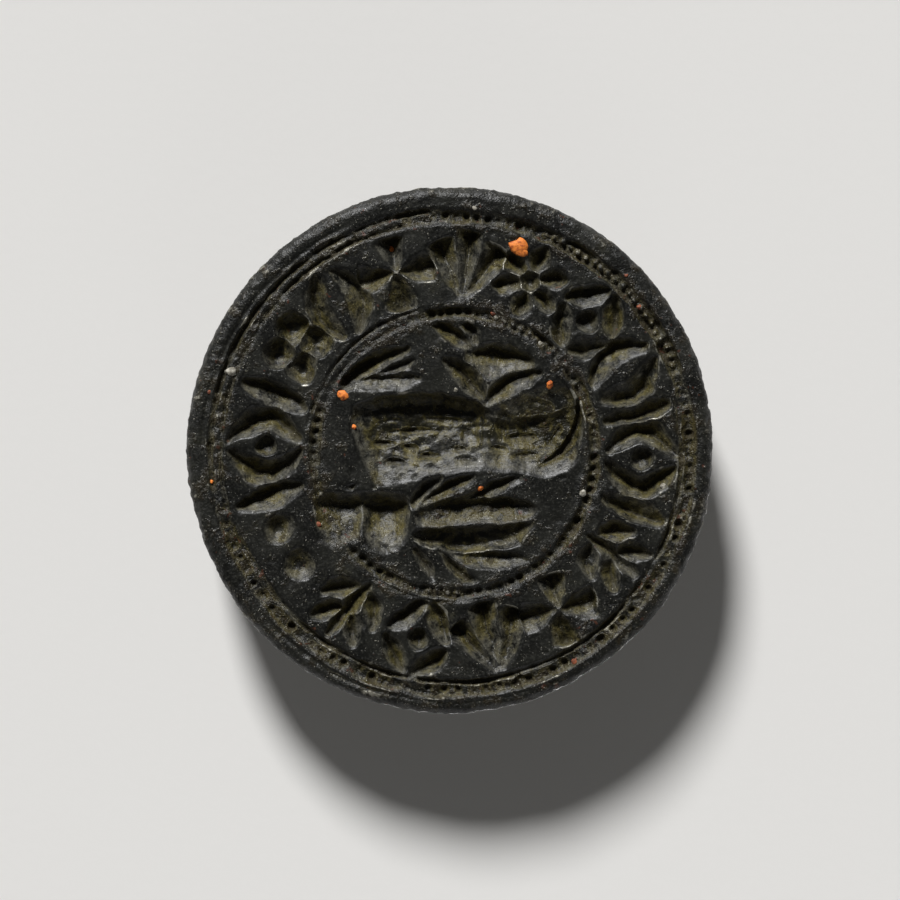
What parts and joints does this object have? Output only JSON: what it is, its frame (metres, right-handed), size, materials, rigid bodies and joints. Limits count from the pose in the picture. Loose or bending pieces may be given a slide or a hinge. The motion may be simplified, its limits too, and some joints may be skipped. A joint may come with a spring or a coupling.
{
  "type": "seal matrix",
  "caption": "Round bronze seal matrix, a winged beast in a beaded band of cut ornament, with a pierced leaf handle that folds flat behind the die.",
  "frame": {"origin": "on the surface it lies on, under the centre of the round die", "axes": "+Z out of the engraved face, up as it lies on its folded handle; +Y from the hinge towards the folded handle's knop, up in the picture; +X to the right in the picture"},
  "size_m": [0.032, 0.032, 0.0069],
  "materials": {
    "die_bronze": "near-black patina, rubbed on the high edges",
    "handle_bronze": "dark brown patina, rubbed by handling",
    "rivet_iron": "dark rusted iron, hammered ends"
  },
  "bodies": {
    "die": {"die_disc": "die_bronze", "hinge_bracket": "handle_bronze", "hinge_pin": "rivet_iron"},
    "handle": {"handle_leaf": "handle_bronze"}
  },
  "joints": [
    {"name": "handle_fold", "type": "hinge", "parent": "die", "child": "handle", "pos_m": [0, -0.0106, 0.00175], "axis": [-1, 0, 0], "range_deg": [0, 90]}
  ]
}
